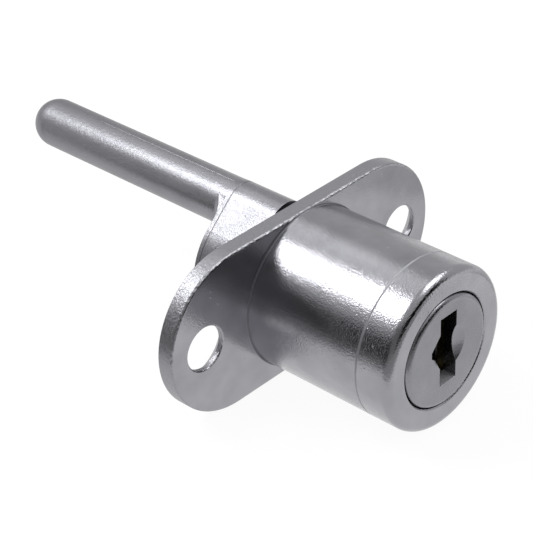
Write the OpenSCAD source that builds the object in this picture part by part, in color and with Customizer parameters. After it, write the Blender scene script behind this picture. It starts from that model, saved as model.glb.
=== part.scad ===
// Front-mounted wafer lock for furniture, with a two-hole flange and a rear
// driver whose eccentric pin works a locking bar through half a turn.
// Millimetres. The lock axis lies along Y and the nose points to -Y, the flange's
// long side lies along X, and Z is up. The origin is on the lock axis, in the
// plane of the flange's front face.

/* [Housing] */
// Diameter of the barrel in front of the flange
barrel_d = 17.8; // [17.4:0.1:20]
// Length of the barrel from the flange's front face to the nose
barrel_len = 18.3; // [18:0.1:30]
// Radius of the rounded edge round the nose
nose_round = 0.9; // [0.3:0.1:1.2]
// Radius of the fillet between the barrel and the flange
root_fillet = 0.2; // [0.1:0.05:1]
// Distance of the parting ring behind the nose
ring_back = 4.05; // [2:0.05:8]
// Width of the parting ring's fine groove
ring_w = 0.16; // [0.08:0.01:0.4]
// Depth of the parting ring's fine groove
ring_depth = 0.04; // [0.02:0.01:0.2]
// How far the rear wall, which carries the driver's spigot, reaches in front of the flange
wall_in = 1.8; // [0.6:0.1:2]

/* [Flange] */
// Overall length of the flange
flange_len = 39.3; // [37:0.1:50]
// How much wider the flange is than the barrel
flange_over = 0.2; // [0.2:0.1:3]
// Thickness of the flange
flange_t = 2; // [1.5:0.1:3]
// Distance of each screw hole from the flange's end
hole_in = 4.65; // [4.5:0.05:5.6]
// Diameter of the screw holes
hole_d = 4.9; // [3:0.1:6]
// Diameter of the countersinks at the flange's rear face
countersink_d = 8.1; // [6.5:0.1:8.4]
// Depth of the screw holes in front of their countersinks
hole_land = 0.6; // [0.4:0.1:1]
// Small bevel along the flange's rear edge and the holes' front mouths
edge_bevel = 0.1; // [0.05:0.01:0.3]
// Radius of the flange's front edge
edge_round = 0.3; // [0.1:0.05:0.6]

/* [Plug] */
// Diameter of the key plug
plug_d = 12.34; // [11.9:0.02:12.6]
// How far the plug's face stands out of the nose
plug_out = 0.2; // [0:0.05:0.4]
// Radius of the rounded edge round the plug's face
plug_round = 0.6; // [0.3:0.05:1]
// Chamfer at the mouth of the plug's bore
mouth_chamfer = 0.15; // [0.05:0.05:0.4]
// Thickness of the tang at the plug's rear end
tang_t = 2.4; // [1.8:0.1:3]
// Length of the tang
tang_len = 1.9; // [1.2:0.1:2.4]
// Length of solid plug between its rear face and the retaining wafer
plug_end = 1.1; // [0.8:0.05:1.4]

/* [Keyway] */
// Width of the keyway's upper and lower ends
key_w = 2.5; // [1.8:0.05:2.6]
// Height of the keyway
key_h = 7.9; // [6:0.1:8.4]
// Sideways place of the keyway's ends
key_x = 0.1; // [-0.2:0.05:0.5]
// Upward place of the keyway's middle
key_z = 0.4; // [-0.3:0.05:0.4]
// How far the bulge on the left stands out past the ends
key_bulge = 1.3; // [0.4:0.05:1.4]
// How far the keyway runs past the last wafer's slot
key_over = 0.2; // [0.1:0.05:0.3]
// Radius of the ball that dishes the lead-in round the keyway's middle
scoop_r = 4.6; // [3.8:0.1:6]
// Depth of the dished lead-in
scoop_depth = 0.66; // [0.3:0.02:0.8]
// Distance of the dished lead-in's middle from the keyway's right wall
scoop_in = 1.05; // [0.8:0.05:1.3]

/* [Wafers] */
// Distance from the nose to the middle of the first wafer
first_wafer = 1.8; // [1.6:0.05:2]
// Thickness of a wafer
wafer_t = 0.9; // [0.6:0.05:0.95]
// Width of a wafer
wafer_w = 6.6; // [6.2:0.1:6.8]
// Travel of a wafer out of the plug
wafer_travel = 1.1; // [0.6:0.05:1.15]
// Height of a wafer's window
window_h = 7.8; // [6.8:0.1:8]
// Difference in window height place from one cut depth to the next
cut_step = 0.3; // [0.1:0.05:0.35]
// Distance from the last wafer to the retaining wafer
retainer_step = 2; // [1.7:0.05:2.3]
// How far the retaining wafer stands out of the plug
retainer_out = 0.95; // [0.5:0.05:1]
// Width of the retaining wafer's body
retainer_w = 5; // [4:0.1:6.2]

/* [Springs] */
// Outer diameter of a wafer spring
spring_d = 1.1; // [0.9:0.05:1.2]
// Wire diameter of a wafer spring
spring_wire = 0.2; // [0.14:0.02:0.22]
// Turns of a wafer spring
spring_turns = 6; // [4:1:8]
// Length of a wafer spring as fitted
spring_len = 4.2; // [3.6:0.1:4.4]

/* [Driver] */
// Diameter of the spigot that turns in the rear wall
spigot_d = 8.2; // [7.6:0.1:9]
// Length of the spigot in front of the clip's groove
spigot_lead = 0.8; // [0.5:0.05:1]
// Radial width of the raised face that runs against the flange
boss_w = 0.5; // [0.3:0.05:0.8]
// Radius of the driver's round body
driver_r = 7.3; // [6.8:0.05:8]
// Thickness of the driver's body
driver_t = 6.65; // [4:0.05:9]
// Gap between the flange and the driver's body
driver_gap = 0.65; // [0.6:0.05:1.5]
// Distance of the body's parting groove from its rear face
seam_back = 0.55; // [0.3:0.05:1]
// Width of the body's parting groove
seam_w = 0.1; // [0.08:0.01:0.3]
// Depth of the body's parting groove
seam_depth = 0.03; // [0.02:0.01:0.2]

/* [Drive pin] */
// Diameter of the eccentric drive pin
pin_d = 5.53; // [4:0.01:6]
// Distance of the drive pin from the lock axis
pin_offset = 6.07; // [5.4:0.01:6.4]
// Length of the drive pin behind the driver's body
pin_len = 31; // [15:0.5:60]
// Radius of the fillet at the pin's root
pin_fillet = 1.15; // [0.5:0.05:1.5]
// How much the pin's radius grows towards its root, over the fillet's length
pin_draft = 0.04; // [0.02:0.01:0.1]
// Height of the parting ridge along the pin
ridge_h = 0.03; // [0.02:0.01:0.12]
// Width of the parting ridge
ridge_w = 0.16; // [0.1:0.02:0.4]
// Distance of the parting ridge's end from the pin's tip
ridge_end = 10; // [5:0.5:14]

/* [Stops] */
// Angle through which the driver turns
turn = 180; // [90:5:200]
// Half the angle that the driver's stop lug fills
lug_half = 30; // [15:1:40]
// Inner radius of the stop lugs
lug_r0 = 5.2; // [5.1:0.1:5.6]
// Radial width of the stop lugs
lug_w = 1.4; // [0.8:0.1:1.5]

/* [Retaining clip] */
// Thickness of the clip in the spigot's groove
clip_t = 0.6; // [0.4:0.05:0.8]
// Outer diameter of the clip
clip_d = 10.6; // [10:0.1:11.6]
// Depth of the clip's groove in the spigot
clip_groove = 0.6; // [0.4:0.05:0.7]
// Half the angle of the clip's opening
clip_open = 28; // [20:1:40]

/* [Clearances] */
// Radial clearance of the plug in its bore
plug_fit = 0.08; // [0.04:0.01:0.1]
// Radial clearance of the spigot in the rear wall
spigot_fit = 0.07; // [0.04:0.01:0.1]
// Play of a wafer in its slot, on each side
wafer_play = 0.05; // [0.03:0.01:0.08]
// Play between faces that stop or turn against each other
face_play = 0.05; // [0.03:0.01:0.1]
// Angle left between the stop lugs at each limit
stop_play = 1; // [0.5:0.5:3]
// Room beyond the wafers' reach in the housing's races
race_room = 0.3; // [0.15:0.05:0.5]
// Room round the tang and the springs, and between the plug and the spigot
loose_fit = 0.1; // [0.05:0.01:0.15]
// Gap between each stop lug and the face that it passes
lug_play = 0.15; // [0.1:0.01:0.2]

/* [Hidden] */
$fn = 96;
// Amount by which a cut runs past the face that it opens
past = 0.5;
// Number of wafers that the key works, each a node of its own
wafer_count = 7;

// Colours as the photograph and such a lock's inside show them
nickel = [0.74, 0.74, 0.76];
plug_nickel = [0.66, 0.66, 0.68];
wafer_brass = [0.80, 0.66, 0.36];
spring_steel = [0.55, 0.56, 0.58];

// Housing
barrel_r = barrel_d / 2;
nose_y = -barrel_len;
bore_r = plug_d / 2 + plug_fit;
wall_y = -wall_in;
flange_end_r = barrel_r + flange_over / 2;
flange_end_x = flange_len / 2 - flange_end_r;
hole_x = flange_len / 2 - hole_in;

// Driver, set back from the flange
driver_y = flange_t + driver_gap;
driver_back = driver_y + driver_t;
seam_y = driver_back - seam_back;
root_y = driver_back - seam_back / 2;
spigot_r = spigot_d / 2;
boss_r = spigot_r + boss_w;
lug_r1 = lug_r0 + lug_w;
pin_r = pin_d / 2;
pin_tip = driver_back + pin_len;
groove_r = spigot_r - clip_groove;
clip_y0 = wall_y - face_play - clip_t;
groove_y0 = clip_y0 - face_play;
spigot_end = groove_y0 - spigot_lead;

// Plug, from the nose to just in front of the spigot
plug_r = plug_d / 2;
face_y = nose_y - plug_out;
plug_back = spigot_end - 3 * loose_fit;
tang_w = 2 * (groove_r - 3 * loose_fit);
slot_depth = tang_len + loose_fit;

// Wafers, spread evenly from the first one to the retaining wafer near the plug's rear
wafer_x = wafer_w / 2;
wafer_r = plug_r - plug_fit;
slot_x = wafer_x + wafer_play;
slot_t = wafer_t + 2 * wafer_play;
retainer_y = plug_back - plug_end - slot_t / 2;
retainer_x = retainer_w / 2;
wafer_first_y = nose_y + first_wafer;
wafer_last_y = retainer_y - retainer_step;
wafer_pitch = (wafer_last_y - wafer_first_y) / (wafer_count - 1);
race_x = slot_x + race_room / 2;
race_r = wafer_r + wafer_travel + race_room;
retainer_race_r = wafer_r + retainer_out + race_room;
race_over = (wafer_pitch - slot_t) / 2;
keyway_back = wafer_last_y + slot_t / 2 + key_over;
function wafer_y(i) = wafer_first_y + (i - 1) * wafer_pitch;

// Heights of the left wall's corners, as shares of half the keyway's height
left_corners = [0.54, 0.17, 0, -0.16, -0.47];
// Share of the bulge that is left at its lower corner
bulge_foot = 0.4;
scoop_x = key_x + key_w / 2 - scoop_in;

// Each wafer's window is moved by its cut depth, and every second one springs down
cut_depths = [1, 3, 2, 4, 2, 3, 1];
function cut(i) = (cut_depths[(i - 1) % len(cut_depths)] - 2.5) * cut_step;
function way(i) = i % 2 == 1 ? 1 : -1;
window_x0 = key_x - key_w / 2 - key_bulge - loose_fit;
window_x1 = key_x + key_w / 2 + loose_fit;

// Spring seats beside the wafers
spring_r = spring_d / 2;
seat_r = spring_r + loose_fit;
seat_x = slot_x + seat_r + wafer_play;
tab_x = seat_x + spring_r;
tab_z = 0.2 * spring_len;
tab_h = spring_d;
seat_z = tab_z - face_play - spring_len - face_play;

// Lies along Y from y0 to y1, a round bar of radius r
module bar(r, y0, y1) {
    translate([0, y0, 0]) rotate([-90, 0, 0]) cylinder(r = r, h = y1 - y0);
}

// A flat outline drawn in X and Z, as thick as y0 to y1
module slab(y0, y1) {
    translate([0, y1, 0]) rotate([90, 0, 0]) linear_extrude(y1 - y0) children();
}

// A profile drawn as radius and Y, turned about the lock axis
module turned() {
    rotate([-90, 0, 0]) rotate_extrude() children();
}

// Part of a ring about the lock axis, its middle at angle mid from +X towards +Z
module lug(r0, r1, y0, y1, mid, half) {
    rotate([-90, 0, 0]) rotate([0, 0, -mid - half]) rotate_extrude(angle = 2 * half)
        translate([r0, y0]) square([r1 - r0, y1 - y0]);
}

// A rectangle from its two corners
module area(x0, z0, x1, z1) {
    translate([x0, z0]) square([x1 - x0, z1 - z0]);
}

// Half of the flange's section, from its middle out: rounded in front, bevelled behind
module flange_section() {
    r = flange_end_r;
    b = edge_bevel;
    area(0, 0, r - edge_round, edge_round + past);
    translate([r - edge_round, edge_round]) circle(edge_round);
    polygon([[0, edge_round], [r, edge_round], [r, flange_t - b], [r - b, flange_t],
             [0, flange_t]]);
}

// Flange plate: two round ends and the straight part between
module flange_plate() {
    for (side = [-1, 1])
        translate([side * flange_end_x, 0, 0]) turned() flange_section();
    rotate([0, -90, 0]) translate([0, 0, -flange_end_x]) linear_extrude(2 * flange_end_x) {
        flange_section();
        mirror([1, 0]) flange_section();
    }
}

// Barrel profile with its rounded nose, before the bore is cut
module barrel_profile() {
    area(0, nose_y + nose_round, barrel_r, past);
    area(0, nose_y, barrel_r - nose_round, nose_y + nose_round + past);
    translate([barrel_r - nose_round, nose_y + nose_round]) circle(nose_round);
}

// Fillet at the foot of the barrel, cut off where the flange's sides end
module barrel_root() {
    side = flange_end_r - edge_bevel / 2;
    intersection() {
        turned() difference() {
            area(barrel_r - past, -root_fillet, barrel_r + root_fillet, edge_round);
            translate([barrel_r + root_fillet, -root_fillet]) circle(root_fillet);
        }
        slab(-root_fillet - past, edge_round + past) area(-flange_end_x, -side, flange_end_x, side);
    }
}

// Section of the fine notch where the two halves of the barrel's mould met
module ring_notch() {
    reach = ring_w / 2 * (1 + past / ring_depth);
    y = nose_y + ring_back;
    polygon([[barrel_r - ring_depth, y], [barrel_r + past, y - reach], [barrel_r + past, y + reach]]);
}

// Screw hole with a small bevel in front and a countersink for the screw's head behind
module screw_hole() {
    r = hole_d / 2;
    sink_r = countersink_d / 2;
    slope = (sink_r - r) / (flange_t - hole_land);
    bar(r, -past, flange_t + past);
    turned() polygon([[0, -past], [r + edge_bevel + past, -past], [r, edge_bevel], [0, edge_bevel]]);
    turned() polygon([[0, hole_land], [r, hole_land], [sink_r + slope * past, flange_t + past],
                      [0, flange_t + past]]);
}

// Races in the bore that take the wafers above and below the plug
module wafer_races() {
    intersection() {
        bar(race_r, wafer_first_y - slot_t / 2 - race_over, wafer_last_y + slot_t / 2 + race_over / 2);
        slab(nose_y, wall_y) area(-race_x, -barrel_r, race_x, barrel_r);
    }
    bar(retainer_race_r, retainer_y - slot_t / 2 - face_play, retainer_y + slot_t / 2 + face_play);
}

module housing() {
    color(nickel) difference() {
        union() {
            turned() barrel_profile();
            barrel_root();
            flange_plate();
            lug(lug_r0, lug_r1, flange_t - past, driver_y - lug_play, 270 - turn / 2,
                180 - turn / 2 - lug_half - stop_play);
        }
        bar(bore_r, nose_y - past, wall_y);
        bar(spigot_r + spigot_fit, wall_y - past, driver_y);
        turned() polygon([[0, nose_y - past], [bore_r + mouth_chamfer + past, nose_y - past],
                          [bore_r, nose_y + mouth_chamfer], [0, nose_y + mouth_chamfer]]);
        turned() ring_notch();
        wafer_races();
        for (side = [-1, 1]) translate([side * hole_x, 0, 0]) screw_hole();
    }
}

// Keyway outline: straight ends, a straight right wall and a bulge to the left
module keyway_outline() {
    half = key_w / 2;
    top = key_h / 2;
    left = left_corners * top;
    out = -half - key_bulge;
    translate([key_x, key_z])
        polygon([[-half, top], [-half, left[0]], [out, left[1]], [out, left[2]],
                 [-half - bulge_foot * key_bulge, left[3]], [-half, left[4]], [-half, -top],
                 [half, -top], [half, top]]);
}

// Dished lead-in round the keyway's middle, seen beside its right wall
module scoop() {
    translate([scoop_x, face_y + scoop_depth - scoop_r, key_z]) sphere(scoop_r);
}

// Turns what springs up into what springs down, on the other side of the plug
module turned_way(up) {
    rotate([0, up > 0 ? 0 : 180, 0]) children();
}

// Slot for one wafer, with the way for its tab and the hole for its spring
module wafer_slot(y, half_w, travel, up) {
    reach = travel + loose_fit;
    translate([0, y, 0]) {
        slab(-slot_t / 2, slot_t / 2) area(-half_w, -plug_r - past, half_w, plug_r + past);
        turned_way(up) {
            slab(-slot_t / 2, slot_t / 2)
                area(half_w - past, tab_z - reach, tab_x + loose_fit, tab_z + tab_h + reach);
            translate([seat_x, 0, seat_z]) cylinder(r = seat_r, h = spring_len);
        }
    }
}

module plug() {
    color(plug_nickel) difference() {
        union() {
            turned() {
                area(0, face_y + plug_round, plug_r, plug_back);
                area(0, face_y, plug_r - plug_round, face_y + plug_round + past);
                translate([plug_r - plug_round, face_y + plug_round]) circle(plug_round);
            }
            slab(plug_back - past, plug_back + tang_len)
                area(-tang_w / 2, -tang_t / 2, tang_w / 2, tang_t / 2);
        }
        slab(face_y - past, keyway_back) keyway_outline();
        scoop();
        for (i = [1:wafer_count]) wafer_slot(wafer_y(i), slot_x, wafer_travel, way(i));
        wafer_slot(retainer_y, retainer_x + wafer_play, retainer_out, 1);
    }
}

// Tab that the spring pushes against, beside the wafer's body
module spring_tab(half_w) {
    area(half_w - past, tab_z, tab_x, tab_z + tab_h);
}

module wafer(i) {
    color(wafer_brass) translate([0, wafer_y(i), 0])
        slab(-wafer_t / 2, wafer_t / 2) difference() {
            union() {
                intersection() {
                    circle(wafer_r);
                    area(-wafer_x, -plug_r, wafer_x, plug_r);
                }
                rotate(way(i) > 0 ? 0 : 180) spring_tab(wafer_x);
            }
            area(window_x0, key_z + cut(i) - window_h / 2, window_x1, key_z + cut(i) + window_h / 2);
        }
}

module retaining_wafer() {
    color(wafer_brass) translate([0, retainer_y, 0])
        slab(-wafer_t / 2, wafer_t / 2) {
            translate([0, retainer_out]) intersection() {
                circle(wafer_r);
                area(-retainer_x, -plug_r, retainer_x, plug_r);
            }
            spring_tab(retainer_x);
        }
}

// Helical wire swept as one closed mesh of rings
module coil(r, wire, length, turns) {
    sides = 6;
    steps = 10;
    n = turns * steps;
    ring = function (k)
        let (a = 360 * k / steps, z = wire / 2 + (length - wire) * k / n)
        [for (s = [0:sides - 1])
            let (b = 360 * s / sides, rr = r - wire / 2 + wire / 2 * cos(b))
            [rr * cos(a), rr * sin(a), z + wire / 2 * sin(b)]];
    points = [for (k = [0:n]) each ring(k)];
    walls = [for (k = [0:n - 1]) for (s = [0:sides - 1])
        let (a = k * sides + s, b = k * sides + (s + 1) % sides)
        each [[a, b, b + sides], [a, b + sides, a + sides]]];
    ends = [[for (s = [0:sides - 1]) sides - 1 - s], [for (s = [0:sides - 1]) n * sides + s]];
    polyhedron(points, concat(walls, ends));
}

module seated_spring(y, up) {
    color(spring_steel) translate([0, y, 0]) turned_way(up)
        translate([seat_x, 0, seat_z + face_play])
            coil(spring_r, spring_wire, spring_len, spring_turns);
}

// Open ring that snaps into the spigot's groove
module retaining_clip() {
    color(spring_steel)
        lug(groove_r + face_play, clip_d / 2, clip_y0, clip_y0 + clip_t, 90, 180 - clip_open);
}

// Outline of the driver's body: the hub, the round behind the pin and the flats
// between them. The draft is how much that round stands out from the pin.
module driver_outline(inset, draft = pin_draft) {
    hub = driver_r - inset;
    tip = pin_r + draft - inset;
    lean = asin((hub - tip) / pin_offset);
    circle(hub);
    translate([0, pin_offset]) circle(tip);
    polygon([[hub * cos(lean), hub * sin(lean)],
             [tip * cos(lean), pin_offset + tip * sin(lean)],
             [-tip * cos(lean), pin_offset + tip * sin(lean)],
             [-hub * cos(lean), hub * sin(lean)]]);
}

// Fillet round the pin's root, flush with the driver's flats
module pin_root() {
    intersection() {
        translate([0, 0, pin_offset]) turned() difference() {
            area(0, root_y, pin_r + pin_fillet, driver_back + pin_fillet);
            translate([pin_r + pin_fillet, driver_back + pin_fillet]) circle(pin_fillet);
        }
        slab(root_y, driver_back + pin_fillet) driver_outline(0, 0);
    }
}

// Drive pin with its domed tip and the slight draft at its root
module drive_pin() {
    translate([0, 0, pin_offset]) {
        turned() polygon([[0, root_y], [pin_r, root_y], [pin_r + pin_draft, driver_back],
                          [pin_r, driver_back + pin_fillet], [0, driver_back + pin_fillet]]);
        bar(pin_r, driver_back + pin_fillet - past, pin_tip - pin_r);
        translate([0, pin_tip - pin_r, 0]) rotate([-90, 0, 0]) sphere(pin_r);
    }
}

// Fine ridges that the two halves of the mould leave along the pin's top and bottom
module parting_ridges() {
    foot = pin_r / 2;
    slab(seam_y + seam_w / 2, pin_tip - ridge_end)
        area(-ridge_w / 2, pin_offset + foot, ridge_w / 2, pin_offset + pin_r + ridge_h);
    slab(driver_back, pin_tip - ridge_end)
        area(-ridge_w / 2, pin_offset - pin_r - ridge_h, ridge_w / 2, pin_offset - foot);
}

module driver() {
    color(nickel) difference() {
        union() {
            slab(driver_y, driver_back) driver_outline(seam_depth);
            slab(driver_y, seam_y - seam_w / 2) driver_outline(0);
            slab(seam_y + seam_w / 2, driver_back) driver_outline(0);
            bar(boss_r, flange_t + face_play, driver_y + past);
            bar(spigot_r, spigot_end, driver_y + past);
            lug(lug_r0, lug_r1, flange_t + lug_play, driver_y + past, 90, lug_half);
            pin_root();
            drive_pin();
            parting_ridges();
        }
        turned() area(groove_r, groove_y0, spigot_r + past, wall_y);
        slab(spigot_end - past, spigot_end + slot_depth)
            area(-spigot_r - past, -tang_t / 2 - loose_fit, spigot_r + past, tang_t / 2 + loose_fit);
    }
}

housing();
plug();
wafer(1);  // wafer_1
wafer(2);  // wafer_2
wafer(3);  // wafer_3
wafer(4);  // wafer_4
wafer(5);  // wafer_5
wafer(6);  // wafer_6
wafer(7);  // wafer_7
seated_spring(wafer_y(1), way(1));  // wafer_spring_1
seated_spring(wafer_y(2), way(2));  // wafer_spring_2
seated_spring(wafer_y(3), way(3));  // wafer_spring_3
seated_spring(wafer_y(4), way(4));  // wafer_spring_4
seated_spring(wafer_y(5), way(5));  // wafer_spring_5
seated_spring(wafer_y(6), way(6));  // wafer_spring_6
seated_spring(wafer_y(7), way(7));  // wafer_spring_7
retaining_wafer();
seated_spring(retainer_y, 1);  // retaining_spring
retaining_clip();
driver();
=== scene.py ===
"""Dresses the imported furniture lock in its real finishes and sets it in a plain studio.

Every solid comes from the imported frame, in metres: the lock axis lies along Y with the nose
towards -Y, the flange's long side lies along X, and Z is up. All visible forms are in those
solids, so the classes here give each sub-assembly the skin that its real metal has.
"""

import logging
import math
from dataclasses import dataclass
from enum import Enum

import bpy
from mathutils import Matrix, Vector


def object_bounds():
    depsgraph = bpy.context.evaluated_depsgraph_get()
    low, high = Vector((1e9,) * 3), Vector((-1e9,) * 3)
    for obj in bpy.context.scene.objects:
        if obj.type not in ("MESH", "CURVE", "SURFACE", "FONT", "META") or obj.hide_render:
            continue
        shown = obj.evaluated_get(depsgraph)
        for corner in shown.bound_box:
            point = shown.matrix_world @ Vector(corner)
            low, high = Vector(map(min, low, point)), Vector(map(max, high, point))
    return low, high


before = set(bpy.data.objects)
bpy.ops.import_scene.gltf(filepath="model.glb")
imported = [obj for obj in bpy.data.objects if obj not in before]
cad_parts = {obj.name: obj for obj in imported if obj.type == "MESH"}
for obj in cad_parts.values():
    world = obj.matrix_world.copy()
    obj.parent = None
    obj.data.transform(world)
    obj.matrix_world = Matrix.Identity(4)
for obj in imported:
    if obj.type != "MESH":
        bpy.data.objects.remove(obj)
CAD_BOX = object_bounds()

MM = 0.001
PHOTO_PX = 533
SENSOR_MM = 36.0
CLIP_START_MM = 10.0

# Most of a noise lies between these two values.
NOISE_LOW = 0.3
NOISE_HIGH = 0.7
NOISE_DETAIL = 2.0
NOISE_ROUGHNESS = 0.6
# A mark on a surface fades out over this length.
FADE_MM = 0.05
# A place along Y far behind the part, where a mark shows nowhere.
NOWHERE_MM = 1000.0
EDGE_SAMPLES = 6
CREVICE_SAMPLES = 8
# Share of open sky at which a crevice counts as deep, and at which it counts as open.
DEEP = 0.3
OPEN = 0.6

log = logging.getLogger("furniture_lock")


class Ray(Enum):
    """Outputs of Light Path that a backdrop is shown to."""

    CAMERA = "Is Camera Ray"
    GLOSSY = "Is Glossy Ray"
    TRANSMISSION = "Is Transmission Ray"


class Lie(Enum):
    """Axis along which a rolled or drawn metal keeps the lines of its making."""

    X = (0.08, 1.0, 1.0)
    Z = (1.0, 1.0, 0.08)


def linear(code: str) -> tuple[float, float, float, float]:
    """Turn an sRGB hex colour into the linear RGBA that Blender's sockets take.

    Args:
        code: A colour such as "#A0A1A4".

    Returns:
        Linear red, green and blue, and an alpha of 1.
    """
    parts = [int(code[i : i + 2], 16) / 255 for i in (1, 3, 5)]
    curve = [c / 12.92 if c <= 0.04045 else ((c + 0.055) / 1.055) ** 2.4 for c in parts]
    return (curve[0], curve[1], curve[2], 1.0)


def add(
    tree: bpy.types.NodeTree,
    kind: str,
    inputs: dict[str | int, object] | None = None,
    **settings: object,
) -> bpy.types.Node:
    """Add one node to a tree.

    Args:
        tree: The tree that gets the node.
        kind: The node's Blender type name.
        inputs: Socket name or number to a value, or to the output socket that feeds it.
        **settings: The node's own attributes.

    Returns:
        The new node.
    """
    node = tree.nodes.new(kind)
    for name, value in settings.items():
        setattr(node, name, value)
    for socket, value in (inputs or {}).items():
        if isinstance(value, bpy.types.NodeSocket):
            tree.links.new(value, node.inputs[socket])
        else:
            node.inputs[socket].default_value = value
    return node


def blank_material(name: str) -> bpy.types.Material:
    """Make a material with an empty node tree."""
    material = bpy.data.materials.new(name)
    material.use_nodes = True
    material.node_tree.nodes.clear()
    return material


class Skin:
    """A material under way: its tree, its place in millimetres and the relief laid on so far."""

    def __init__(self, name: str, edge_mm: float) -> None:
        """Start the material with edges that catch the light as if slightly rounded.

        Args:
            name: The material's name.
            edge_mm: Radius to which tumbling wore the edges.
        """
        self.material = blank_material(name)
        self.tree = self.material.node_tree
        place = add(self.tree, "ShaderNodeTexCoord").outputs["Object"]
        self.in_mm = add(
            self.tree, "ShaderNodeVectorMath", {0: place, "Scale": 1 / MM}, operation="SCALE"
        ).outputs["Vector"]
        axes = add(self.tree, "ShaderNodeSeparateXYZ", {0: self.in_mm}).outputs
        self.x, self.y, self.z = axes["X"], axes["Y"], axes["Z"]
        across = add(self.tree, "ShaderNodeCombineXYZ", {"X": self.x, "Z": self.z})
        self.radius = add(
            self.tree, "ShaderNodeVectorMath", {0: across.outputs["Vector"]}, operation="LENGTH"
        ).outputs["Value"]
        self.normal = add(
            self.tree, "ShaderNodeBevel", {"Radius": edge_mm * MM}, samples=EDGE_SAMPLES
        ).outputs["Normal"]

    def noise(
        self,
        size_mm: float,
        detail: float = NOISE_DETAIL,
        stretch: tuple[float, float, float] = (1.0, 1.0, 1.0),
    ) -> bpy.types.NodeSocket:
        """Make a noise whose features have a real size.

        Args:
            size_mm: Width of one feature.
            detail: How many finer layers it has.
            stretch: Factors on X, Y and Z. A low one draws the features out along that axis.

        Returns:
            The noise's value, from 0 to 1.
        """
        place = add(
            self.tree, "ShaderNodeVectorMath", {0: self.in_mm, 1: stretch}, operation="MULTIPLY"
        ).outputs["Vector"]
        sockets = {
            "Vector": place,
            "Scale": 1 / size_mm,
            "Detail": detail,
            "Roughness": NOISE_ROUGHNESS,
        }
        return add(self.tree, "ShaderNodeTexNoise", sockets).outputs["Fac"]

    def math(
        self, operation: str, *values: bpy.types.NodeSocket | float
    ) -> bpy.types.NodeSocket:
        """Work out one step of arithmetic.

        Args:
            operation: Blender's name for the step.
            *values: What it is worked out from, in order.

        Returns:
            The result.
        """
        sockets = dict(enumerate(values))
        return add(self.tree, "ShaderNodeMath", sockets, operation=operation).outputs["Value"]

    def ramp(
        self, value: bpy.types.NodeSocket, low: float, high: float, start: float, end: float
    ) -> bpy.types.NodeSocket:
        """Map a value from one range to another, held at the ends.

        Args:
            value: What is mapped.
            low: The value that gives start.
            high: The value that gives end.
            start: Result at and below low.
            end: Result at and above high.

        Returns:
            The mapped value.
        """
        sockets = {"Value": value, "From Min": low, "From Max": high, "To Min": start, "To Max": end}
        return add(self.tree, "ShaderNodeMapRange", sockets).outputs["Result"]

    def mix(
        self, share: bpy.types.NodeSocket, first: bpy.types.NodeSocket | str, second: str
    ) -> bpy.types.NodeSocket:
        """Mix two colours.

        Args:
            share: How much of the second colour there is, from 0 to 1.
            first: An sRGB hex colour, or the output of an earlier mix.
            second: An sRGB hex colour.

        Returns:
            The mixed colour.
        """
        ground = linear(first) if isinstance(first, str) else first
        sockets = {"Fac": share, "Color1": ground, "Color2": linear(second)}
        return add(self.tree, "ShaderNodeMixRGB", sockets).outputs["Color"]

    def crevices(self, reach_mm: float) -> bpy.types.NodeSocket:
        """Find inner corners and gaps.

        Args:
            reach_mm: How far from the corner it still counts.

        Returns:
            1 deep in a corner and 0 on open surfaces.
        """
        sockets = {"Distance": reach_mm * MM}
        sky = add(
            self.tree, "ShaderNodeAmbientOcclusion", sockets, samples=CREVICE_SAMPLES
        ).outputs["AO"]
        return self.ramp(sky, DEEP, OPEN, 1.0, 0.0)

    def ring(self, radius_mm: float, along_mm: float, reach_mm: float) -> bpy.types.NodeSocket:
        """Mark a thin ring round the lock's axis.

        Args:
            radius_mm: The ring's radius.
            along_mm: Where it lies along Y.
            reach_mm: Distance from it at which the mark has faded.

        Returns:
            1 on the ring and 0 beyond its reach.
        """
        place = add(self.tree, "ShaderNodeCombineXYZ", {"X": self.radius, "Y": self.y})
        sockets = {0: place.outputs["Vector"], 1: (radius_mm, along_mm, 0.0)}
        away = add(self.tree, "ShaderNodeVectorMath", sockets, operation="DISTANCE")
        return self.ramp(away.outputs["Value"], reach_mm / 2, reach_mm, 1.0, 0.0)

    def band(
        self, middle_mm: float, half_mm: float, inside: float, outside: float
    ) -> bpy.types.NodeSocket:
        """Tell a band across the lock's axis from the rest.

        Args:
            middle_mm: Where its middle lies along Y.
            half_mm: Half its width.
            inside: Result within it.
            outside: Result elsewhere.

        Returns:
            One result or the other, with a short blend between them.
        """
        off = self.math("SUBTRACT", self.y, middle_mm)
        return self.ramp(self.math("ABSOLUTE", off), half_mm, half_mm + FADE_MM, inside, outside)

    def shelf(
        self, side_mm: float, top_mm: float, radius_mm: float, from_mm: float
    ) -> bpy.types.NodeSocket:
        """Mark the floor of a slot that runs along the lock's axis.

        Args:
            side_mm: The mark ends at this X.
            top_mm: It ends at this Z.
            radius_mm: It reaches this far from the axis.
            from_mm: It starts at this Y.

        Returns:
            1 inside these limits and 0 outside.
        """
        share = self.ramp(self.y, from_mm, from_mm + FADE_MM, 0.0, 1.0)
        for value, limit in ((self.x, side_mm), (self.z, top_mm), (self.radius, radius_mm)):
            share = self.math("MINIMUM", share, self.ramp(value, limit, limit + FADE_MM, 1.0, 0.0))
        return share

    def relief(
        self,
        height: bpy.types.NodeSocket,
        rise_mm: float,
        strength: bpy.types.NodeSocket | float = 1.0,
    ) -> None:
        """Lay one more relief on the surface.

        Args:
            height: Height from 0 to 1.
            rise_mm: What a height of 1 is.
            strength: How much of it shows, from 0 to 1.
        """
        sockets = {
            "Height": height,
            "Distance": rise_mm * MM,
            "Strength": strength,
            "Normal": self.normal,
        }
        self.normal = add(self.tree, "ShaderNodeBump", sockets).outputs["Normal"]

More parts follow.
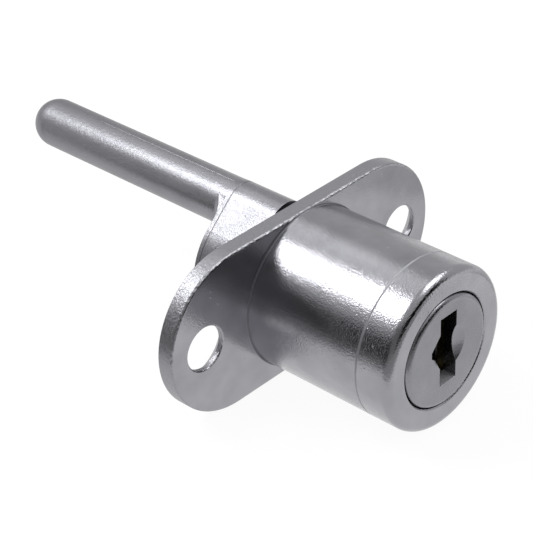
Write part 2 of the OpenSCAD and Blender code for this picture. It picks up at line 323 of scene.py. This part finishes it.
    def metal(
        self, colour: bpy.types.NodeSocket, roughness: bpy.types.NodeSocket
    ) -> bpy.types.Material:
        """Finish the material as a bare or plated metal.

        Args:
            colour: Its colour at each point.
            roughness: Its roughness at each point.

        Returns:
            The finished material.
        """
        sockets = {
            "Base Color": colour,
            "Metallic": 1.0,
            "Roughness": roughness,
            "Normal": self.normal,
        }
        shader = add(self.tree, "ShaderNodeBsdfPrincipled", sockets)
        add(self.tree, "ShaderNodeOutputMaterial", {"Surface": shader.outputs["BSDF"]})
        return self.material


@dataclass(frozen=True)
class PlatedCasting:
    """Die-cast zinc, tumbled and nickel plated.

    The eye sees a soft mirror with grainy edges to its highlights, because the casting's skin
    shows through the plating. Here and there a pinhole or a nodule gives a speck. Parts of the
    casting that the tumbling media don't reach keep a rawer skin, which blurs what it mirrors.
    """

    name: str
    colour: str = "#A7A7AC"
    dull: str = "#9A9A9F"
    roughness: float = 0.14
    raw_roughness: float = 0.36
    edge_mm: float = 0.08
    # The real grain is about 0.1 mm. It is drawn at 0.2 mm, two pixels, so that it shows.
    grain_mm: float = 0.2
    grain_detail: float = 1.5
    # The grains are finer along the axis, in which the die opened.
    grain_stretch: tuple[float, float, float] = (1.0, 1.8, 1.0)
    grain_rise_mm: float = 0.028
    # The roughness goes up and down with the grain by this share.
    sway: float = 0.2
    ripple_mm: float = 1.1
    ripple_rise_mm: float = 0.006
    cloud_mm: float = 4.0
    speck_mm: float = 1.3
    speck_rise_mm: float = 0.02
    # A speck's core and its rim, as shares of the distance between two specks.
    speck_core: float = 0.04
    speck_rim: float = 0.09
    # Painted shade: inner corners and gaps are darkened towards this colour, the more the less open
    # sky they see.
    crevice_shade: str = "#232325"
    crevice_mm: float = 0.3
    raw_colour: str = "#99999E"
    raw_mm: float = 0.45
    raw_detail: float = 3.0
    raw_rise_mm: float = 0.06
    # The skin turns raw where Y is beyond this.
    raw_from_mm: float = NOWHERE_MM
    raw_fade_mm: float = 0.1
    # A slot's floor stays raw too: its greatest X and Z, its reach from the axis, its first Y.
    floor_mm: tuple[float, float, float, float] = (0.0, 0.0, 0.0, NOWHERE_MM)
    # Middle and half width, along Y, of a band where the grain is only this strong.
    calm_mm: tuple[float, float] = (NOWHERE_MM, 0.1)
    calm_share: float = 0.5
    # The same for a band whose edge tumbling wore unevenly, which breaks up its bright line.
    worn_mm: tuple[float, float] = (NOWHERE_MM, 0.1)
    wear_mm: float = 0.7
    wear_detail: float = 1.0
    wear_rise_mm: float = 0.16
    # Radius, place along Y and reach of an inner corner that is painted dark, as painted shade, and
    # made matt.
    corner_mm: tuple[float, float, float] = (0.0, NOWHERE_MM, 0.1)
    corner_shade: str = "#6E6E73"
    corner_blur: float = 0.4
    # The die's parting line in the same form. Tumbling leaves it matt.
    parting_mm: tuple[float, float, float] = (0.0, NOWHERE_MM, 0.1)

    def make(self) -> bpy.types.Material:
        """Build the material.

        Returns:
            The finished material.
        """
        skin = Skin(self.name, self.edge_mm)
        raw = skin.math(
            "MAXIMUM",
            skin.ramp(skin.y, self.raw_from_mm, self.raw_from_mm + self.raw_fade_mm, 0.0, 1.0),
            skin.shelf(*self.floor_mm),
        )
        grain = skin.noise(self.grain_mm, self.grain_detail, self.grain_stretch)
        ripple = skin.noise(self.ripple_mm)
        cloud = skin.noise(self.cloud_mm)
        specks = {"Vector": skin.in_mm, "Scale": 1 / self.speck_mm}
        cells = add(skin.tree, "ShaderNodeTexVoronoi", specks).outputs["Distance"]
        skin.relief(ripple, self.ripple_rise_mm)
        skin.relief(skin.noise(self.raw_mm, self.raw_detail), self.raw_rise_mm, raw)
        worn = skin.band(*self.worn_mm, 1.0, 0.0)
        skin.relief(skin.noise(self.wear_mm, self.wear_detail), self.wear_rise_mm, worn)
        calm = skin.band(*self.calm_mm, self.calm_share, 1.0)
        skin.relief(grain, self.grain_rise_mm, calm)
        skin.relief(skin.ramp(cells, self.speck_core, self.speck_rim, 1.0, 0.0), self.speck_rise_mm)
        corner = skin.ring(*self.corner_mm)
        matt = skin.math("MAXIMUM", corner, skin.ring(*self.parting_mm))
        calmest, roughest = self.roughness * (1 - self.sway), self.roughness * (1 + self.sway)
        smooth = skin.ramp(grain, NOISE_LOW, NOISE_HIGH, calmest, roughest)
        blurred = skin.ramp(raw, 0.0, 1.0, 0.0, self.raw_roughness - self.roughness)
        roughness = skin.math("ADD", smooth, blurred)
        roughness = skin.math("MULTIPLY_ADD", matt, self.corner_blur, roughness)
        clouded = skin.ramp(cloud, NOISE_LOW, NOISE_HIGH, 0.0, 1.0)
        colour = skin.mix(clouded, self.colour, self.dull)
        colour = skin.mix(raw, colour, self.raw_colour)
        # Painted shade in inner corners and gaps, then at the barrel's foot.
        colour = skin.mix(skin.crevices(self.crevice_mm), colour, self.crevice_shade)
        return skin.metal(skin.mix(corner, colour, self.corner_shade), roughness)


@dataclass(frozen=True)
class RolledMetal:
    """Sheet or wire, rolled or drawn, then cut.

    The eye sees fine parallel lines from the rolls or the die, and a faint mottle of tarnish
    between them.
    """

    name: str
    colour: str
    tarnish: str
    lie: Lie
    roughness: float = 0.3
    # Shares of that roughness on the lines' ridges and in their grooves.
    ridge: float = 0.75
    groove: float = 1.3
    edge_mm: float = 0.04
    line_mm: float = 0.06
    line_rise_mm: float = 0.003
    mottle_mm: float = 1.2
    mottle_detail: float = 3.0
    # Values of the mottle at which the tarnish begins and is full.
    tarnish_from: float = 0.35
    tarnish_full: float = 0.7

    def make(self) -> bpy.types.Material:
        """Build the material.

        Returns:
            The finished material.
        """
        skin = Skin(self.name, self.edge_mm)
        lines = skin.noise(self.line_mm, stretch=self.lie.value)
        mottle = skin.noise(self.mottle_mm, self.mottle_detail)
        skin.relief(lines, self.line_rise_mm)
        tarnished = skin.ramp(mottle, self.tarnish_from, self.tarnish_full, 0.0, 1.0)
        finest, coarsest = self.roughness * self.ridge, self.roughness * self.groove
        return skin.metal(
            skin.mix(tarnished, self.colour, self.tarnish),
            skin.ramp(lines, NOISE_LOW, NOISE_HIGH, finest, coarsest),
        )


def dress(node: str, material: bpy.types.Material) -> None:
    """Give a CAD node its finish.

    Args:
        node: The node's name.
        material: The finish that it gets.
    """
    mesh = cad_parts[node].data
    mesh.materials.clear()
    mesh.materials.append(material)
    log.info("%s: dressed in %s", node, material.name)


@dataclass
class CastHousing:
    """Barrel and flange, cast as one."""

    node: str = "housing"
    # The flange's front face lies at Y 0. Its rim and the holes' walls stay raw behind it.
    raw_from_mm: float = 0.03
    # Where the barrel meets the flange: radius, place along Y and reach of its painted shade.
    foot_mm: tuple[float, float, float] = (8.96, -0.06, 0.15)
    parting_mm: tuple[float, float, float] = (8.9, -14.25, 0.16)
    # The flange's front face is smoother than the barrel.
    face_mm: tuple[float, float] = (-0.14, 0.16)
    # The flange's rounded front edge.
    rim_mm: tuple[float, float] = (0.18, 0.12)

    def build(self) -> None:
        """Dress the housing."""
        dress(
            self.node,
            PlatedCasting(
                "nickel_plated_housing_casting",
                raw_from_mm=self.raw_from_mm,
                corner_mm=self.foot_mm,
                parting_mm=self.parting_mm,
                calm_mm=self.face_mm,
                worn_mm=self.rim_mm,
            ).make(),
        )


@dataclass
class KeyPlug:
    """Plug with its keyway, the wafers that the key moves, and their springs."""

    node: str = "plug"
    wafers: int = 7
    wire_mm: float = 0.2
    # The die's lines and the worn edges on the wire, as shares of its thickness.
    wire_line: float = 1 / 3
    wire_edge: float = 1 / 10
    # The keyway's floor is as cast from its mouth on, and painted lighter there: painted light for
    # the light that falls in at its mouth.
    keyway_floor_mm: tuple[float, float, float, float] = (1.4, -3.5, 4.6, -18.46)

    def build(self) -> None:
        """Dress the plug, the wafers and the springs."""
        dress(
            self.node,
            PlatedCasting(
                "nickel_plated_plug_casting",
                colour="#96969B",
                dull="#8A8A8F",
                roughness=0.24,
                # Painted light: the keyway's floor gets this lighter colour.
                raw_colour="#B4B4B8",
                raw_roughness=0.85,
                grain_rise_mm=0.015,
                speck_mm=2.0,
                floor_mm=self.keyway_floor_mm,
            ).make(),
        )
        brass = RolledMetal("rolled_brass_stamping", "#B4A67C", "#8C8263", Lie.X).make()
        steel = RolledMetal(
            "drawn_spring_steel",
            "#9A9CA0",
            "#85878B",
            Lie.Z,
            line_mm=self.wire_mm * self.wire_line,
            edge_mm=self.wire_mm * self.wire_edge,
        ).make()
        for number in range(1, self.wafers + 1):
            dress(f"wafer_{number}", brass)
            dress(f"wafer_spring_{number}", steel)
        dress("retaining_wafer", brass)
        dress("retaining_spring", steel)


@dataclass
class DriveEnd:
    """Driver with its offset pin, and the snap ring that holds it in the rear wall."""

    node: str = "driver"
    clip: str = "retaining_clip"
    # From its root the pin turns duller towards its tip.
    raw_from_mm: float = 9.0
    raw_fade_mm: float = 26.0

    def build(self) -> None:
        """Dress the driver and the ring."""
        dress(
            self.node,
            PlatedCasting(
                "nickel_plated_driver_casting",
                colour="#99999E",
                dull="#8D8D92",
                roughness=0.32,
                raw_roughness=0.42,
                grain_rise_mm=0.025,
                ripple_rise_mm=0.012,
                raw_colour="#8A8A8F",
                raw_rise_mm=0.03,
                raw_from_mm=self.raw_from_mm,
                raw_fade_mm=self.raw_fade_mm,
            ).make(),
        )
        dress(
            self.clip,
            RolledMetal("punched_spring_steel", "#8E9095", "#77797E", Lie.X).make(),
        )


Point = tuple[float, float, float]


@dataclass
class Board:
    """Studio board that only the metal mirrors, as photographers use to shape its reflections."""

    name: str
    rows_mm: tuple[tuple[Point, ...], tuple[Point, ...]]
    colour: str
    strength: float = 1.0

    @staticmethod
    def around(
        angles: range, near: tuple[float, float], far: tuple[float, float]
    ) -> tuple[tuple[Point, ...], tuple[Point, ...]]:
        """Give two rows of points round the lock, one below or inside the other.

        Args:
            angles: Directions in degrees, 0 towards the nose's side and 90 towards +X.
            near: Radius and height of the first row.
            far: Radius and height of the second row.

        Returns:
            The two rows.
        """
        turns = [math.radians(a) for a in angles]
        first, second = (
            tuple((r * math.sin(t), -r * math.cos(t), z) for t in turns) for r, z in (near, far)
        )
        return first, second

    @staticmethod
    def standing(
        foot: tuple[tuple[float, float], ...], low: float, high: float
    ) -> tuple[tuple[Point, ...], tuple[Point, ...]]:
        """Give the lower and the upper row of a board that stands along a foot line."""
        return tuple((x, y, low) for x, y in foot), tuple((x, y, high) for x, y in foot)

    @staticmethod
    def facing(
        at: Point, size: tuple[float, float]
    ) -> tuple[tuple[Point, ...], tuple[Point, ...]]:
        """Give the corners of a flat board that faces the lock.

        Args:
            at: The board's middle.
            size: Its width and its height.

        Returns:
            Its lower and its upper edge.
        """
        middle = Vector(at)
        side = middle.cross(Vector((0.0, 0.0, 1.0))).normalized() * size[0] / 2
        rise = side.cross(middle).normalized() * size[1] / 2
        return (
            (tuple(middle - side - rise), tuple(middle + side - rise)),
            (tuple(middle - side + rise), tuple(middle + side + rise)),
        )

    def build(self) -> None:
        """Set the board up, hidden from the camera."""
        first, second = ([Vector(p) * MM for p in row] for row in self.rows_mm)
        count = len(first)
        mesh = bpy.data.meshes.new(self.name)
        faces = [(i, i + 1, count + i + 1, count + i) for i in range(count - 1)]
        mesh.from_pydata(first + second, [], faces)
        board = bpy.data.objects.new(self.name, mesh)
        bpy.context.scene.collection.objects.link(board)
        board.visible_camera = False
        board.visible_shadow = False
        board.visible_diffuse = False
        material = blank_material(self.name + "_cloth")
        tree = material.node_tree
        sockets = {"Color": linear(self.colour), "Strength": self.strength}
        glow = add(tree, "ShaderNodeEmission", sockets)
        add(tree, "ShaderNodeOutputMaterial", {"Surface": glow.outputs["Emission"]})
        mesh.materials.append(material)
        log.info("%s: stands in the studio", self.name)


@dataclass
class Studio:
    """Pale floor, plain surroundings, one softbox, boards and the photograph's camera."""

    floor_size_m: float = 6.0
    # The floor shows a little under white, so that it doesn't clip.
    floor_glow: float = 0.93
    floor_paint: str = "#5A5A5A"
    surround: str = "#D4D4D4"
    softbox_at_mm: Point = (-102.0, 157.0, 219.0)
    softbox_aim_mm: Point = (0.0, -9.0, 0.0)
    softbox_size_mm: float = 126.0
    softbox_radiance: float = 6.6
    # The lowest boards lie this far above the floor, the one under the lock a little lower.
    lift_mm: float = 0.05
    lap_mm: float = 0.02
    # Distance of the boards round the camera, and the height of the dark one.
    far_mm: float = 700.0
    dark_mm: float = 440.0
    # The solved camera: its focal length in pixels, its place and the axes of its picture.
    focal_px: float = 1898.294
    camera_at_mm: Point = (-120.73, -111.54, 108.33)
    camera_right: Point = (0.6811, -0.7315, -0.0329)
    camera_up: Point = (0.4154, 0.3490, 0.8400)

    def build(self) -> None:
        """Make the surroundings, the floor, the lights, the boards and the camera."""
        self.surroundings()
        self.floor()
        self.softbox()
        self.boards()
        self.camera()
        bpy.context.scene.view_settings.view_transform = "Standard"

    def shown(self, tree: bpy.types.NodeTree) -> bpy.types.NodeSocket:
        """Give 1 on rays that show the backdrop and 0 on those that only light things.

        Args:
            tree: The tree that gets the nodes.

        Returns:
            The output socket with that value.
        """
        path = add(tree, "ShaderNodeLightPath")
        total = path.outputs[Ray.CAMERA.value]
        for ray in (Ray.GLOSSY, Ray.TRANSMISSION):
            sockets = {0: total, 1: path.outputs[ray.value]}
            total = add(tree, "ShaderNodeMath", sockets, operation="MAXIMUM").outputs["Value"]
        return total

    def surroundings(self) -> None:
        """Light the scene evenly from all round with pale grey."""
        world = bpy.data.worlds.new("pale_surroundings")
        bpy.context.scene.world = world
        world.use_nodes = True
        tree = world.node_tree
        tree.nodes.clear()
        glow = add(
            tree, "ShaderNodeBackground", {"Color": linear(self.surround), "Strength": 1.0}
        )
        add(tree, "ShaderNodeOutputWorld", {"Surface": glow.outputs["Background"]})

    def floor(self) -> None:
        """Lay a plain white floor just under the lock, which keeps the lock's faint shadow."""
        half = self.floor_size_m / 2
        low = CAD_BOX[0][2]
        mesh = bpy.data.meshes.new("studio_floor")
        mesh.from_pydata(
            [(-half, -half, low), (half, -half, low), (half, half, low), (-half, half, low)],
            [],
            [(0, 1, 2, 3)],
        )
        board = bpy.data.objects.new("studio_floor", mesh)
        bpy.context.scene.collection.objects.link(board)
        material = blank_material("matt_white_board")
        tree = material.node_tree
        lift = add(
            tree,
            "ShaderNodeMath",
            {0: self.shown(tree), 1: self.floor_glow},
            operation="MULTIPLY",
        ).outputs["Value"]
        glow = add(tree, "ShaderNodeEmission", {"Color": (1.0, 1.0, 1.0, 1.0), "Strength": lift})
        paint = add(tree, "ShaderNodeBsdfDiffuse", {"Color": linear(self.floor_paint)})
        parts = {0: glow.outputs["Emission"], 1: paint.outputs["BSDF"]}
        both = add(tree, "ShaderNodeAddShader", parts)
        add(tree, "ShaderNodeOutputMaterial", {"Surface": both.outputs["Shader"]})
        mesh.materials.append(material)

    def softbox(self) -> None:
        """Hang the softbox above and behind the lock, facing it."""
        place = Vector(self.softbox_at_mm) * MM
        way = place - Vector(self.softbox_aim_mm) * MM
        size = self.softbox_size_mm * MM
        lamp = bpy.data.lights.new("softbox", "AREA")
        lamp.shape = "SQUARE"
        lamp.size = size
        lamp.energy = self.softbox_radiance * math.pi * size * size
        holder = bpy.data.objects.new("softbox", lamp)
        holder.location = place
        holder.rotation_euler = way.to_track_quat("Z", "Y").to_euler()
        bpy.context.scene.collection.objects.link(holder)

    def boards(self) -> None:
        """Set up the boards: dark to the left and at the camera, pale above and at the right."""
        low = CAD_BOX[0][2] / MM + self.lift_mm
        under = low - self.lap_mm
        far = self.far_mm
        left = Board.standing(((-120.0, 92.0), (-155.0, 36.0), (-190.0, -20.0)), low, 75.0)
        left_low = Board.around(range(-150, -95, 10), (42.0, low), (150.0, low))
        front_low = Board.around(range(-115, 26, 10), (40.0, low), (600.0, low))
        right_low = Board.around(range(45, 126, 10), (35.0, low), (90.0, low))
        below = Board.around(range(-180, 181, 15), (1.0, under), (40.0, under))
        front_left = Board.around(range(-110, -29, 10), (far, low), (far, far))
        front = Board.around(range(-30, 41, 10), (far, low), (far, self.dark_mm))
        behind = Board.facing((60.0, 180.0, 225.0), (130.0, 110.0))
        above = Board.facing((118.0, -56.0, 265.0), (180.0, 160.0))
        edge = Board.facing((93.0, -148.0, 243.0), (60.0, 40.0))
        for board in (
            # The dark band along the barrel, and its softer lower side.
            Board("left_flag", left, "#464646"),
            Board("left_card", left_low, "#767676"),
            # The even grey of the faces that look towards the nose.
            Board("front_card", front_low, "#ACACAC"),
            Board("right_card", right_low, "#D8D8D8"),
            Board("near_card", below, "#F4F4F4"),
            # The darker tones on the rounded edges that look towards the camera.
            Board("camera_flag", front_left, "#868686"),
            Board("dark_flag", front, "#101010"),
            # The highlights beside the softbox's, on the edges and on the right.
            Board("side_panel", behind, "#FFFFFF", 1.5),
            Board("top_panel", above, "#FFFFFF", 4.2),
            Board("edge_panel", edge, "#FFFFFF", 3.0),
        ):
            board.build()

    def camera(self) -> None:
        """Set the camera where the photograph was taken from."""
        lens = bpy.data.cameras.new("photo_camera")
        lens.sensor_width = SENSOR_MM
        lens.lens = self.focal_px / PHOTO_PX * SENSOR_MM
        lens.clip_start = CLIP_START_MM * MM
        lens.dof.use_dof = False
        right = Vector(self.camera_right).normalized()
        up = Vector(self.camera_up).normalized()
        back = right.cross(up).normalized()
        turn = Matrix((right, back.cross(right), back)).transposed().to_4x4()
        holder = bpy.data.objects.new("photo_camera", lens)
        holder.matrix_world = Matrix.Translation(Vector(self.camera_at_mm) * MM) @ turn
        bpy.context.scene.collection.objects.link(holder)
        bpy.context.scene.camera = holder


def main() -> None:
    """Build the sub-assemblies in order, then the studio."""
    logging.basicConfig(level=logging.INFO, format="%(message)s")
    for assembly in (CastHousing(), KeyPlug(), DriveEnd(), Studio()):
        assembly.build()


if __name__ == "__main__":
    main()
